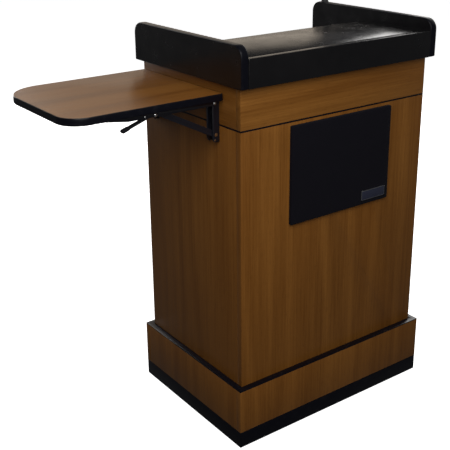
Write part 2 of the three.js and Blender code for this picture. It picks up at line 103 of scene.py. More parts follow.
def camera():
    back = Vector((
        math.sin(AZIMUTH) * math.cos(ELEVATION),
        -math.cos(AZIMUTH) * math.cos(ELEVATION),
        math.sin(ELEVATION),
    ))
    level = (-back).cross(Z).normalized()
    above = level.cross(-back)
    right = math.cos(ROLL) * level + math.sin(ROLL) * above
    up = -math.sin(ROLL) * level + math.cos(ROLL) * above
    data = bpy.data.cameras.new("camera")
    data.sensor_width = SENSOR
    data.lens = LENS
    data.shift_y = SHIFT_Y
    data.clip_end = 200
    viewer = linked("camera", data)
    place = Matrix((right, up, back)).transposed().to_4x4()
    corner = Vector((CABINET_LOW.x, CABINET_LOW.y, 0))
    place.translation = corner + CAMERA_OFFSET * CABINET_WIDTH
    viewer.matrix_world = place
    bpy.context.scene.camera = viewer


def area_light(name, at, towards, size, power, colour):
    data = bpy.data.lights.new(name, "AREA")
    data.shape = "RECTANGLE"
    data.size, data.size_y = size
    data.energy = power
    data.color = colour
    light = linked(name, data)
    light.location = at
    light.rotation_euler = (Vector(towards) - Vector(at)).to_track_quat("-Z", "Y").to_euler()
    light.visible_camera = False


def studio():
    scene = bpy.context.scene
    scene.view_settings.view_transform = "Standard"
    world = bpy.data.worlds.new("studio")
    world.use_nodes = True
    ambient = world.node_tree.nodes["Background"]
    ambient.inputs["Color"].default_value = (0.97, 0.98, 1, 1)
    ambient.inputs["Strength"].default_value = AMBIENT
    scene.world = world

    for light in LIGHTS:
        area_light(*light)

    bm = bmesh.new()
    bmesh.ops.create_grid(bm, x_segments=4, y_segments=4, size=FLOOR_HALF)
    floor = surround("floor", bm, floor_finish())
    bm = bmesh.new()
    bmesh.ops.create_icosphere(bm, subdivisions=3, radius=SKY_RADIUS)
    backdrop = surround("backdrop", bm, backdrop_finish())
    backdrop.visible_shadow = False
    backdrop.visible_transmission = False


def surround(name, bm, material):
    """A surface of the studio, seen by the camera but not in the object's light or reflections."""
    mesh = bpy.data.meshes.new(name)
    bm.to_mesh(mesh)
    bm.free()
    mesh.materials.append(material)
    made = linked(name, mesh)
    made.visible_diffuse = False
    made.visible_glossy = False
    return made


# ---- Materials ----
class Finish:
    """A material and short calls that add nodes to its tree."""

    def __init__(self, name, roughness=0.5, metallic=0.0):
        self.material = bpy.data.materials.new(name)
        self.material.use_nodes = True
        self.tree = self.material.node_tree
        self.shader = self.tree.nodes["Principled BSDF"]
        self.put(self.shader, "Roughness", roughness)
        self.put(self.shader, "Metallic", metallic)
        self.place = self.add("ShaderNodeTexCoord").outputs["Object"]

    def add(self, kind, settings=None, **inputs):
        node = self.tree.nodes.new(kind)
        for key, value in (settings or {}).items():
            setattr(node, key, value)
        for key, value in inputs.items():
            self.put(node, key.replace("_", " "), value)
        return node

    def put(self, node, socket, value):
        socket = node.inputs[socket]
        if isinstance(value, bpy.types.NodeSocket):
            self.tree.links.new(value, socket)
        elif socket.type == "RGBA" and len(value) == 3:
            socket.default_value = (*value, 1)
        else:
            socket.default_value = value

    def stretch(self, scale, turn=(0, 0, 0), shift=(0, 0, 0)):
        turned = self.add("ShaderNodeMapping", None, Vector=self.place, Rotation=turn, Location=shift)
        return self.add("ShaderNodeMapping", None, Vector=turned.outputs[0], Scale=scale).outputs[0]

    def noise(self, at, scale, detail=4.0, rough=0.55, distortion=0.0):
        node = self.add("ShaderNodeTexNoise", None, Vector=at, Scale=scale, Detail=detail,
                        Roughness=rough, Distortion=distortion)
        return node.outputs["Fac"]

    def patches(self, scale, detail, rough, low, high, most):
        """Noise that shows only where it passes low, up to most."""
        return self.between(self.noise(self.place, scale, detail, rough), low, high, 0.0, most)

    def cells(self, at, scale):
        return self.add("ShaderNodeTexVoronoi", None, Vector=at, Scale=scale).outputs["Distance"]

    def maths(self, operation, a, b=0.5):
        node = self.add("ShaderNodeMath", {"operation": operation})
        self.put(node, 0, a)
        self.put(node, 1, b)
        return node.outputs[0]

    def between(self, value, low, high, out_low=0.0, out_high=1.0):
        node = self.add("ShaderNodeMapRange")
        for index, part in enumerate((value, low, high, out_low, out_high)):
            self.put(node, index, part)
        return node.outputs[0]

    def mix(self, factor, a, b):
        node = self.add("ShaderNodeMix", {"data_type": "RGBA"})
        for index, value in ((0, factor), (6, a), (7, b)):
            self.put(node, index, value)
        return node.outputs[2]

    def relief(self, height, depth, strength=1.0):
        node = self.add("ShaderNodeBump", None, Height=height, Distance=depth, Strength=strength)
        return node.outputs["Normal"]

    def finish(self, colour, roughness=None, normal=None, **fixed):
        self.put(self.shader, "Base Color", colour)
        if roughness is not None:
            self.put(self.shader, "Roughness", roughness)
        if normal is not None:
            self.put(self.shader, "Normal", normal)
        for key, value in fixed.items():
            self.put(self.shader, key.replace("_", " "), value)
        return self.material


def walnut(name, turn, shift):
    """Satin walnut laminate; turn brings the grain onto Z."""
    f = Finish(name)
    broad = f.noise(f.stretch((7, 7, 0.7), turn, shift), 1.0, 3, 0.5)
    drift = f.noise(f.stretch((16, 16, 1.6), turn, shift), 1.0, 2, 0.5)
    rings = f.maths("MULTIPLY", f.noise(f.stretch((5, 5, 0.42), turn, shift), 1.0, 2, 0.45), 46.0)
    figure = f.maths("MULTIPLY", f.maths("ADD", f.maths("SINE", rings), 1.0), 0.5)
    streaks = f.noise(f.stretch((210, 210, 3.2), turn, shift), 1.0, 5, 0.62, 0.3)
    fine = f.noise(f.stretch((780, 780, 12), turn, shift), 1.0, 3, 0.6)
    pores = f.between(f.noise(f.stretch((1100, 1100, 34), turn, shift), 1.0, 2, 0.5), 0.60, 0.70)
    tone = f.maths("ADD", f.maths("MULTIPLY", streaks, 0.55), f.maths("MULTIPLY", fine, 0.25))
    tone = f.maths("ADD", tone, f.maths("MULTIPLY", figure, 0.13))
    tone = f.maths("ADD", tone, f.maths("MULTIPLY", drift, 0.22))
    tone = f.between(tone, 0.38, 0.78)
    colour = f.mix(tone, (0.110, 0.0395, 0.0056), (0.226, 0.0945, 0.0185))
    colour = f.mix(f.between(broad, 0.3, 0.7, 0.0, 0.30), colour, (0.140, 0.048, 0.0066))
    colour = f.mix(f.maths("MULTIPLY", pores, 0.45), colour, (0.046, 0.016, 0.0025))
    roughness = f.between(streaks, 0.3, 0.7, 0.28, 0.38)
    height = f.maths("SUBTRACT", f.maths("MULTIPLY", fine, 0.4), pores)
    normal = f.relief(height, 0.00006, 0.7)
    return f.finish(colour, roughness, normal, Specular_IOR_Level=0.25)


def black_laminate():
    f = Finish("black_laminate")
    pebble = f.cells(f.place, 1500)
    cloud = f.noise(f.place, 9, 4)
    colour = f.mix(cloud, (0.0022, 0.0021, 0.0027), (0.0060, 0.0056, 0.0062))
    speck = f.patches(900, 2, 0.55, 0.66, 0.74, 0.35)
    colour = f.mix(speck, colour, (0.014, 0.013, 0.016))
    roughness = f.between(f.noise(f.place, 26, 4), 0.3, 0.7, 0.19, 0.28)
    return f.finish(colour, roughness, f.relief(pebble, 0.00003, 0.35))


def black_moulding():
    f = Finish("black_moulding")
    scuff = f.between(f.noise(f.stretch((60, 60, 60)), 1.0, 6, 0.7), 0.55, 0.75, 0.0, 1.0)
    colour = f.mix(scuff, (0.0024, 0.0025, 0.0050), (0.0080, 0.0080, 0.0110))
    roughness = f.between(scuff, 0, 1, 0.32, 0.44)
    normal = f.relief(f.noise(f.place, 160, 3), 0.00010, 0.35)
    return f.finish(colour, roughness, normal, Specular_IOR_Level=0.22)


THREAD_PITCH = 0.0016


def grille_cloth():
    """Plain-woven acoustic cloth: threads along X and Z, over and under each other."""
    f = Finish("grille_cloth", roughness=0.92)
    axes = f.add("ShaderNodeSeparateXYZ", None, Vector=f.place)
    pitch = 2 * math.pi / THREAD_PITCH
    warp = f.maths("SINE", f.maths("MULTIPLY", axes.outputs[0], pitch))
    weft = f.maths("SINE", f.maths("MULTIPLY", axes.outputs[2], pitch))
    weave = f.between(f.maths("MULTIPLY", warp, weft), -1, 1)
    slub = f.noise(f.stretch((400, 400, 30)), 1.0, 3)
    # The weave's low parts between the threads are painted darker: painted shade. The slub varies the thread tone
    # at random.
    painted_shade_and_slub = f.maths("MULTIPLY", weave, f.between(slub, 0.2, 0.8, 0.6, 1.1))
    colour = f.mix(painted_shade_and_slub, (0.0009, 0.0008, 0.0022), (0.0056, 0.0048, 0.0098))
    colour = f.mix(f.patches(14, 3, 0.55, 0.35, 0.7, 0.4), colour, (0.0018, 0.0016, 0.0045))
    return f.finish(colour, None, f.relief(weave, 0.00030, 0.8), Specular_IOR_Level=0.12,
                    Sheen_Weight=0.015, Sheen_Roughness=0.5)


def powder_coat():
    f = Finish("powder_coat")
    grit = f.noise(f.place, 1300, 3, 0.6)
    rubbed = f.patches(75, 5, 0.65, 0.60, 0.74, 0.5)
    colour = f.mix(rubbed, (0.0026, 0.0028, 0.0062), (0.0130, 0.0130, 0.0170))
    roughness = f.between(grit, 0.3, 0.7, 0.36, 0.50)
    return f.finish(colour, roughness, f.relief(grit, 0.00008, 0.5))


def zinc_plate():
    f = Finish("zinc_plate", metallic=1.0)
    spangle = f.cells(f.place, 190)
    brushed = f.noise(f.stretch((500, 500, 18)), 1.0, 4)
    colour = f.mix(f.between(spangle, 0.1, 0.7), (0.42, 0.44, 0.47), (0.60, 0.61, 0.62))
    colour = f.mix(f.patches(45, 5, 0.55, 0.58, 0.75, 0.4), colour, (0.22, 0.21, 0.20))
    roughness = f.between(brushed, 0.25, 0.75, 0.28, 0.44)
    return f.finish(colour, roughness, f.relief(brushed, 0.00003, 0.4))


def chrome():
    f = Finish("chrome", metallic=1.0)
    turned = f.noise(f.place, 1500, 3)
    colour = f.mix(turned, (0.62, 0.64, 0.67), (0.84, 0.85, 0.86))
    roughness = f.between(f.noise(f.place, 260, 4), 0.3, 0.7, 0.10, 0.24)
    return f.finish(colour, roughness, f.relief(turned, 0.00002, 0.3))


def badge_metal():
    """Plain satin plate, brushed along its length."""
    f = Finish("badge_metal", metallic=1.0)
    brushed = f.noise(f.stretch((40, 900, 1800)), 1.0, 4, 0.6)
    colour = f.mix(brushed, (0.36, 0.37, 0.40), (0.60, 0.61, 0.64))
    roughness = f.between(brushed, 0.3, 0.7, 0.26, 0.42)
    return f.finish(colour, roughness, f.relief(brushed, 0.00003, 0.5))


def badge_field():
    f = Finish("badge_field")
    grain = f.noise(f.place, 2200, 3)
    colour = f.mix(grain, (0.010, 0.012, 0.026), (0.026, 0.029, 0.052))
    return f.finish(colour, f.between(grain, 0.3, 0.7, 0.34, 0.46), f.relief(grain, 0.00003, 0.4))


def rubber():
    f = Finish("rubber")
    grit = f.noise(f.place, 700, 5, 0.65)
    dust = f.patches(60, 5, 0.6, 0.5, 0.72, 0.55)
    colour = f.mix(dust, (0.016, 0.016, 0.017), (0.075, 0.071, 0.066))
    return f.finish(colour, f.between(grit, 0.3, 0.7, 0.68, 0.88), f.relief(grit, 0.00020, 0.6))


def speaker_paper():
    f = Finish("speaker_paper")
    fibre = f.noise(f.place, 420, 6, 0.7, 1.4)
    colour = f.mix(fibre, (0.010, 0.010, 0.010), (0.046, 0.044, 0.041))
    return f.finish(colour, f.between(fibre, 0.3, 0.7, 0.78, 0.95), f.relief(fibre, 0.00015, 0.7))


def moulded_plastic():
    f = Finish("moulded_plastic")
    spark = f.noise(f.place, 1600, 3, 0.6)
    worn = f.patches(90, 4, 0.55, 0.55, 0.72, 0.4)
    colour = f.mix(worn, (0.0125, 0.0125, 0.0135), (0.030, 0.030, 0.031))
    return f.finish(colour, f.between(spark, 0.3, 0.7, 0.38, 0.54), f.relief(spark, 0.00007, 0.6))


def foam():
    f = Finish("foam", roughness=0.95)
    pores = f.cells(f.place, 900)
    fluff = f.noise(f.place, 300, 5, 0.7)
    # The pores' hollows are painted darker: painted shade. The fluff lightens the tone at random.
    colour = f.mix(f.between(pores, 0.1, 0.8), (0.0035, 0.0035, 0.0040), (0.022, 0.022, 0.024))
    colour = f.mix(f.between(fluff, 0.4, 0.7, 0.0, 0.35), colour, (0.030, 0.030, 0.032))
    return f.finish(colour, None, f.relief(pores, 0.0005, 0.9), Sheen_Weight=0.15, Sheen_Roughness=0.6)


def white_paint():
    f = Finish("white_paint")
    chip = f.patches(900, 4, 0.55, 0.62, 0.72, 0.6)
    colour = f.mix(chip, (0.72, 0.72, 0.70), (0.30, 0.30, 0.30))
    return f.finish(colour, f.between(chip, 0, 1, 0.42, 0.60), f.relief(chip, 0.00003, 0.3))


def lamp_lens():
    f = Finish("lamp_lens")
    grain = f.cells(f.place, 1400)
    colour = f.mix(grain, (0.02, 0.16, 0.05), (0.08, 0.42, 0.14))
    return f.finish(colour, f.between(grain, 0.1, 0.8, 0.16, 0.30), f.relief(grain, 0.00006, 0.5))


def floor_finish():
    f = Finish("studio_floor", roughness=0.9)
    tone = f.noise(f.place, 1.3, 3)
    colour = f.mix(tone, (0.86, 0.86, 0.86), (0.90, 0.90, 0.90))
    f.put(f.shader, "Emission Color", (1, 1, 1))
    f.put(f.shader, "Emission Strength", 0.95)
    return f.finish(colour, None, None, Specular_IOR_Level=0.1)


def backdrop_finish():
    material = bpy.data.materials.new("studio_backdrop")
    material.use_nodes = True
    tree = material.node_tree
    tree.nodes.clear()
    glow = tree.nodes.new("ShaderNodeEmission")
    out = tree.nodes.new("ShaderNodeOutputMaterial")
    tree.links.new(glow.outputs[0], out.inputs[0])
    material.cycles.emission_sampling = "NONE"
    return material


QUARTER = math.pi / 2
FINISHES = {
    "walnut_upright": walnut("walnut_upright", (0, 0, 0), (0.31, 0.07, 0.13)),
    "walnut_across": walnut("walnut_across", (0, QUARTER, 0), (0.17, 0.43, 0.29)),
    "walnut_deep": walnut("walnut_deep", (QUARTER, 0, 0), (0.53, 0.19, 0.37)),
    "laminate": black_laminate(),
    "moulding": black_moulding(),
    "cloth": grille_cloth(),
    "powder": powder_coat(),
    "zinc": zinc_plate(),
    "chrome": chrome(),
    "badge_metal": badge_metal(),
    "badge_field": badge_field(),
    "rubber": rubber(),
    "paper": speaker_paper(),
    "plastic": moulded_plastic(),
    "foam": foam(),
    "white": white_paint(),
    "lamp": lamp_lens(),
}


# ---- Mesh helpers ----
def new_piece(name, bm, finish, body, nodes=(), smooth_up_to=32):
    """Links the bmesh as a piece that rides on a body and stands for these CAD nodes. With no body, the piece is
    left unattached."""
    bmesh.ops.recalc_face_normals(bm, faces=bm.faces)
    mesh = bpy.data.meshes.new(name)
    bm.to_mesh(mesh)
    bm.free()
    mesh.materials.append(FINISHES[finish])
    mesh.polygons.foreach_set("use_smooth", [True] * len(mesh.polygons))
    mesh.set_sharp_from_angle(angle=math.radians(smooth_up_to))
    piece = linked(name, mesh)
    if body is not None:
        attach(piece, body)
    if nodes:
        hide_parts(*nodes)
    return piece


def node_bmesh(node):
    """A CAD node's shape with its flat faces whole again."""
    source = frame["nodes"][node].data
    bm = bmesh.new()
    corners = [bm.verts.new(vertex.co) for vertex in source.vertices]
    for polygon in source.polygons:
        bm.faces.new([corners[index] for index in polygon.vertices])
    bmesh.ops.remove_doubles(bm, verts=bm.verts, dist=2e-6)
    bmesh.ops.dissolve_limit(bm, angle_limit=math.radians(1), verts=bm.verts, edges=bm.edges)
    return bm


def ease(bm, width, segments=3, over=40):
    """Rounds every edge that turns by more than so many degrees."""
    limit = math.radians(over)
    edges = [e for e in bm.edges if len(e.link_faces) == 2 and e.calc_face_angle(0) > limit]
    bmesh.ops.bevel(bm, geom=edges, offset=width, segments=segments, profile=0.5, affect="EDGES",
                    clamp_overlap=True)


def refine(node, finish, edge=0.6 * MM, segments=3, name=None):
    """The CAD node's own shape with eased edges."""
    bm = node_bmesh(node)
    ease(bm, edge, segments)
    new_piece(name or node + "_board", bm, finish, BODY_OF[node], [node])


def skin(bm, rings, close=False):
    """Faces between rings of points that follow each other; a ring of one point is a tip."""
    rows = [[bm.verts.new(point) for point in ring] for ring in rings]
    pairs = list(zip(rows, rows[1:]))
    if close:
        pairs.append((rows[-1], rows[0]))
    for a, b in pairs:
        count = max(len(a), len(b))
        for i in range(count):
            j = (i + 1) % count
            ring = [a[i % len(a)], a[j % len(a)], b[j % len(b)], b[i % len(b)]]
            corners = list(dict.fromkeys(ring))
            if len(corners) > 2:
                bm.faces.new(corners)
    return rows


def loft(bm, rings):
    """A skin with its first and last ring closed."""
    rows = skin(bm, rings)
    bm.faces.new(list(reversed(rows[0])))
    bm.faces.new(rows[-1])


def mm(points, u=0.0, v=0.0):
    """Points given in millimetres from (u, v), in metres."""
    return [(u + a * MM, v + b * MM) for a, b in points]


def lathe(bm, profile, origin, axis=Z, segments=40):
    """Turns (radius, height) points about the line through origin along axis."""
    turn = Z.rotation_difference(Vector(axis))
    rings = []
    for radius, height in profile:
        if radius < 1e-7:
            rings.append([Vector(origin) + turn @ Vector((0, 0, height))])
            continue
        angles = [2 * math.pi * step / segments for step in range(segments)]
        ring = [Vector((radius * math.cos(a), radius * math.sin(a), height)) for a in angles]
        rings.append([Vector(origin) + turn @ point for point in ring])
    skin(bm, rings)


def turned(name, profile, origin, axis, sides, finish, body, nodes=()):
    """A piece that is one turned shape."""
    bm = bmesh.new()
    lathe(bm, profile, origin, axis, sides)
    return new_piece(name, bm, finish, body, nodes)


def block(bm, low, high, width=0.0, segments=2):
    """A box between any two opposite corners, with its edges eased."""
    low, high = [Vector(pick(pair) for pair in zip(low, high)) for pick in (min, max)]
    made = bmesh.ops.create_cube(bm, size=1)["verts"]
    size = high - low
    middle = (high + low) / 2
    for vertex in made:
        vertex.co = Vector(a * b for a, b in zip(vertex.co, size)) + middle
    if width:
        edges = list(dict.fromkeys(edge for vertex in made for edge in vertex.link_edges))
        bmesh.ops.bevel(bm, geom=edges, offset=width, segments=segments, profile=0.5, affect="EDGES",
                        clamp_overlap=True)


def arc(centre, radius, start, end, steps):
    """Points of an arc in a plane, angles in degrees."""
    angles = [math.radians(start + (end - start) * step / steps) for step in range(steps + 1)]
    return [(centre[0] + radius * math.cos(a), centre[1] + radius * math.sin(a)) for a in angles]


SMALL_CORNER = 5 * MM


def rounded_outline(low, high, radii, steps=14, inset=0.0):
    """A rectangle with its own radius at each corner: low-low, high-low, high-high, low-high."""
    a, b, c, d = radii
    low = (low[0] + inset, low[1] + inset)
    high = (high[0] - inset, high[1] - inset)
    corners = [((low[0] + a, low[1] + a), a, 180), ((high[0] - b, low[1] + b), b, 270),
               ((high[0] - c, high[1] - c), c, 0), ((low[0] + d, high[1] - d), d, 90)]
    return [point for centre, radius, start in corners
            for point in arc(centre, radius, start, start + 90, steps if radius > SMALL_CORNER else 4)]


def sweep(bm, path, section, normal, closed=False):
    """Carries a section along a flat path. Its points are (out of the path, along the plane's normal)."""
    count = len(path)
    rings = []
    for i, point in enumerate(path):
        last = path[i - 1] if closed or i else None
        following = path[(i + 1) % count] if closed or i < count - 1 else None
        before = (point - last).normalized() if last else (following - point).normalized()
        after = (following - point).normalized() if following else before
        along = (before + after).normalized()
        out = along.cross(normal).normalized()
        mitre = 1 / max(along.dot(after), 0.5)
        rings.append([point + out * (u * mitre) + normal * v for u, v in section])
    if closed:
        skin(bm, rings, close=True)
    else:
        loft(bm, rings)


def plate(bm, outline, place, thickness, width=0.0, segments=2):
    """A flat outline of (u, v) points, set out by place(u, v, w) and made so thick, with eased rims."""
    near = [bm.verts.new(place(u, v, 0)) for u, v in outline]
    far = [bm.verts.new(place(u, v, thickness)) for u, v in outline]
    count = len(outline)
    bottom = bm.faces.new(list(reversed(near)))
    top_face = bm.faces.new(far)
    for i in range(count):
        bm.faces.new([near[i], near[(i + 1) % count], far[(i + 1) % count], far[i]])
    if width:
        rims = list(bottom.edges) + list(top_face.edges)
        bmesh.ops.bevel(bm, geom=rims, offset=width, segments=segments, profile=0.5, affect="EDGES",
                        clamp_overlap=True)


def circle_section(radius, count=14):
    return [(radius * math.cos(2 * math.pi * i / count), radius * math.sin(2 * math.pi * i / count))
            for i in range(count)]


def moulding_section(half, crown, lip=0.0):
    """A domed edge band: half its width, how far it stands out, and how far it laps inwards."""
    lower = [(-lip, -half), (0.35 * crown, -half + 0.05 * MM), (0.72 * crown, -half + 0.75 * MM),
             (0.92 * crown, -half + 2.2 * MM), (crown, -0.45 * half)]
    return lower + [(u, -v) for u, v in reversed(lower)]


# (share of the radius, share of the height)
PAN_HEAD = [(0, 0), (1, 0), (1, 0.35), (0.86, 0.75), (0.55, 0.97), (0, 1)]
RIVET_HEAD = [(0, 0), (1, 0), (1, 0.25), (0.88, 0.62), (0.62, 0.88), (0.52, 0.80), (0.44, 0.92), (0, 1)]


def scaled(points, u, v):
    return [(a * u, b * v) for a, b in points]


def screw(bm, at, axis, radius=4 * MM, height=2 * MM):
    """A pan-head screw with a cross recess, its head's underside at the point."""
    lathe(bm, scaled(PAN_HEAD, radius, height), at, axis, 24)
    turn = Z.rotation_difference(Vector(axis))
    for quarter in (0, QUARTER):
        made = bmesh.ops.create_cube(bm, size=1)["verts"]
        spin = Matrix.Rotation(quarter, 3, "Z")
        for vertex in made:
            x, y, z = vertex.co
            bar = Vector((x * radius * 0.95, y * radius * 0.22, z * height * 0.2))
            vertex.co = Vector(at) + turn @ (spin @ bar + Vector((0, 0, height * 0.93)))


def rivet(bm, at, axis, radius, height):
    """A domed rivet head with a turned ring."""
    lathe(bm, scaled(RIVET_HEAD, radius, height), at, axis, 28)


# ---- Cabinet ----
def cabinet():
    upright = ["left_side_panel", "right_side_panel", "front_panel", "skirt_front", "skirt_rear",
               "skirt_left", "skirt_right", "left_door", "right_door"]
    across = ["floor_panel", "inner_shelf", "divider_panel", "upper_front_panel"]
    deep = ["upper_left_panel", "upper_right_panel"]
    for finish, nodes in (("walnut_upright", upright), ("walnut_across", across), ("walnut_deep", deep)):
        for node in nodes:
            refine(node, finish)
    for node in ("seam_trim", "skirt_cap"):
        refine(node, "moulding", 0.5 * MM, 2, node + "_strip")
    refine("kick_frame", "moulding", 1.2 * MM, 3, "kick_frame_plinth")


def inside_fittings():
    """The blocks that carry the inner shelf, and their screws."""
    bm = bmesh.new()
    shelf_low, shelf_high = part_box("inner_shelf")
    for side, x in ((1, shelf_low.x + 1 * MM), (-1, shelf_high.x - 1 * MM)):
        for y in (shelf_low.y + 60 * MM, shelf_high.y - 40 * MM):
            block(bm, (x, y - 9 * MM, shelf_low.z - 20 * MM),
                  (x + side * 18 * MM, y + 9 * MM, shelf_low.z - GAP), 1.5 * MM, 3)
    new_piece("shelf_corner_blocks", bm, "plastic", "cabinet")
    bm = bmesh.new()
    for side, x in ((1, shelf_low.x + 19 * MM), (-1, shelf_high.x - 19 * MM)):
        for y in (shelf_low.y + 60 * MM, shelf_high.y - 40 * MM):
            screw(bm, (x, y, shelf_low.z - 11 * MM), (side, 0, 0), 3.2 * MM, 1.6 * MM)
    new_piece("corner_block_screws", bm, "zinc", "cabinet")


# ---- Top ----
WING_CORNER = 32 * MM
WING_CROWN = 2.6 * MM


def wing(side):
    node = side + "_wing"
    low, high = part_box(node)
    middle = (low.x + high.x) / 2
    half = (high.x - low.x) / 2

    def outline(inset):
        big = WING_CORNER - inset
        small = max(1 * MM, 3 * MM - inset)
        return rounded_outline(low.yz, high.yz, (small, small, big, big), inset=inset)

    bm = bmesh.new()
    plate(bm, outline(WING_CROWN), lambda u, v, w: Vector((low.x + w, u, v)), 2 * half)
    new_piece(side + "_wing_board", bm, "laminate", BODY_OF[node], [node])
    bm = bmesh.new()
    path = [Vector((middle, u, v)) for u, v in outline(WING_CROWN)]
    sweep(bm, path, moulding_section(half, WING_CROWN - 0.05 * MM), X, closed=True)
    new_piece(side + "_wing_moulding", bm, "moulding", BODY_OF[node])


def top():
    for side in ("left", "right"):
        wing(side)
    refine("front_fascia", "laminate", 2.2 * MM, 4)
    refine("work_surface", "laminate", 0.5 * MM, 2)
    refine("reading_surface", "laminate", 0.5 * MM, 2)
    refine("paper_stop", "moulding", 2.5 * MM, 4, "paper_stop_rail")


# ---- Sound ----
def grille():
    low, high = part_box("speaker_grille")
    body = BODY_OF["speaker_grille"]
    wall = 22 * MM
    cloth = 0.8 * MM
    bm = bmesh.new()
    outer = rounded_outline(low.xz, high.xz, (3 * MM,) * 4, inset=1.2 * MM)
    path = [Vector((u, (low.y + high.y) / 2 + 0.6 * MM, v)) for u, v in outer]
    depth = (high.y - low.y) / 2 - 0.6 * MM
    sweep(bm, path, [(-wall, -depth), (0, -depth), (0, depth), (-wall, depth)], -Y, closed=True)
    new_piece("grille_frame", bm, "plastic", body, ["speaker_grille"])

    # The cloth: rings of the outline from the back edge, over the rounded rim and in to the middle.
    rim = 3.0 * MM
    depth_y = high.y - low.y
    rings = []
    turned = [math.radians(a) for a in (22, 45, 68, 90)]
    over_rim = [(rim * (1 - math.cos(a)), rim * (1 - math.sin(a))) for a in turned]
    corner = 4.0 * MM
    for inset, back in [(0, depth_y), (0, 0.6 * depth_y), (0, rim)] + over_rim:
        points = rounded_outline(low.xz, high.xz, (max(corner - inset, 1.2 * MM),) * 4, inset=inset)
        rings.append([Vector((u, low.y + back, v)) for u, v in points])
    centre = Vector(((low.x + high.x) / 2, low.y, (low.z + high.z) / 2))
    for share in (0.9, 0.7, 0.45, 0.2):
        rings.append([centre + (point - centre) * share for point in rings[6]])
    bm = bmesh.new()
    inside = Vector((0, cloth, 0))

    def inwards(point):
        return (Vector((centre.x, point.y, centre.z)) - point).normalized() * cloth

    inner = [[point + inwards(point) for point in ring] for ring in rings[:3]]
    inner += [[point + inside + inwards(point) * 0.6 for point in ring] for ring in rings[3:]]
    skin(bm, rings + [[centre], [centre + inside]] + inner[::-1], close=True)
    cover = new_piece("grille_cloth", bm, "cloth", body)


def badge():
    """A blank badge: a narrow bright rim round a plain dark field."""
    low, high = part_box("badge")
    body = BODY_OF["badge"]
    rim = 1.6 * MM
    recess = 0.4 * MM
    middle_y = (low.y + high.y) / 2
    half = (high.y - low.y) / 2
    outline = rounded_outline(low.xz, high.xz, (3 * MM,) * 4)
    bm = bmesh.new()
    path = [Vector((u, middle_y, v)) for u, v in outline]
    section = [(-rim, -half), (0, -half), (0, 0.7 * half), (-0.3 * rim, half), (-rim, half)]
    sweep(bm, path, section, -Y, closed=True)
    new_piece("badge_rim", bm, "badge_metal", body, ["badge"])
    inner = rounded_outline(low.xz, high.xz, (1.5 * MM,) * 4, inset=rim - 0.05 * MM)
    bm = bmesh.new()
    plate(bm, inner, lambda u, v, w: Vector((u, high.y - w, v)), 2 * half - recess, 0.1 * MM, 2)
    new_piece("badge_field", bm, "badge_field", body)


SPEAKER_SPOKES = 6
SPOKE_HALF = math.radians(11)


def loudspeaker():
    low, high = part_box("speaker_basket")
    centre = Vector(((low.x + high.x) / 2, low.y, (low.z + high.z) / 2))
    radius = (high.x - low.x) / 2
    deep = high.y - low.y
    bm = bmesh.new()
    rim = mm([(-13.6, 0), (-0.6, 0), (0, 0.6), (0, 2.4), (-0.6, 3), (-10, 3), (-12, 5.5), (-13.6, 5.5),
              (-13.6, 0)], u=radius)
    lathe(bm, rim, centre, Y, FINE)
    lathe(bm, mm([(0, -34), (41, -34), (41, -30.5), (0, -30.5)], v=deep), centre, Y, FINE)
    for spoke in range(SPEAKER_SPOKES):
        middle = 2 * math.pi * spoke / SPEAKER_SPOKES + math.pi / 6
        angles = [middle + SPOKE_HALF * share for share in (-1, -0.5, 0, 0.5, 1)]
        stations = [(radius - 12.5 * MM, 3.2 * MM), (radius - 17 * MM, 12 * MM), (52 * MM, deep - 36 * MM),
                    (38 * MM, deep - 31.5 * MM)]
        rings = []
        for r, h in stations:
            narrow = 1.0 if r > 60 * MM else 0.85
            turns = [middle + (a - middle) * narrow for a in angles]
            loop = [(r, h, a) for a in turns] + [(r - 1.8 * MM, h - 1.2 * MM, a) for a in reversed(turns)]
            rings.append([centre + Vector((q * math.cos(a), k, q * math.sin(a))) for q, k, a in loop])
        loft(bm, rings)
    new_piece("speaker_frame", bm, "powder", "cabinet", ["speaker_basket"])
    magnet = mm([(0, -30), (47, -30), (48, -29), (48, -9), (47, -8), (44, -8), (44, -1), (43, 0), (11, 0),
                 (10, -1.5), (0, -2)], v=deep)
    turned("speaker_magnet", magnet, centre, Y, FINE, "zinc", "cabinet")

    cone_low, cone_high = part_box("speaker_cone")
    outer = (cone_high.x - cone_low.x) / 2
    roll = [(outer - 5.6 * MM - 5 * MM * math.cos(math.radians(a)), 0.6 * MM + 3.4 * MM *
             math.sin(math.radians(a))) for a in range(0, 181, 20)]
    funnel = mm([(24, 27), (22, 25.5), (12, 21.5), (0, 20)])
    back = mm([(0, 29.5), (24, 29.5)])
    shape = [(outer, 0.0), (outer, 1.2 * MM)] + [(r, max(h, 1.2 * MM)) for r, h in reversed(roll)] + [
        (outer - 12 * MM, 2.6 * MM)] + list(reversed(back)) + list(reversed(funnel)) + [
        (outer - 11.4 * MM, 0.6 * MM), (outer, 0.0)]
    turned("speaker_diaphragm", shape, (centre.x, cone_low.y, centre.z), Y, FINE, "paper",
           "cabinet", ["speaker_cone"])
    bm = bmesh.new()
    for spoke in range(8):
        a = 2 * math.pi * spoke / 8 + math.pi / 8
        at = centre + Vector((math.cos(a) * (radius - 5 * MM), 3 * MM, math.sin(a) * (radius - 5 * MM)))
        screw(bm, at, Y, 3.6 * MM, 2.2 * MM)
    new_piece("speaker_screws", bm, "zinc", "cabinet")


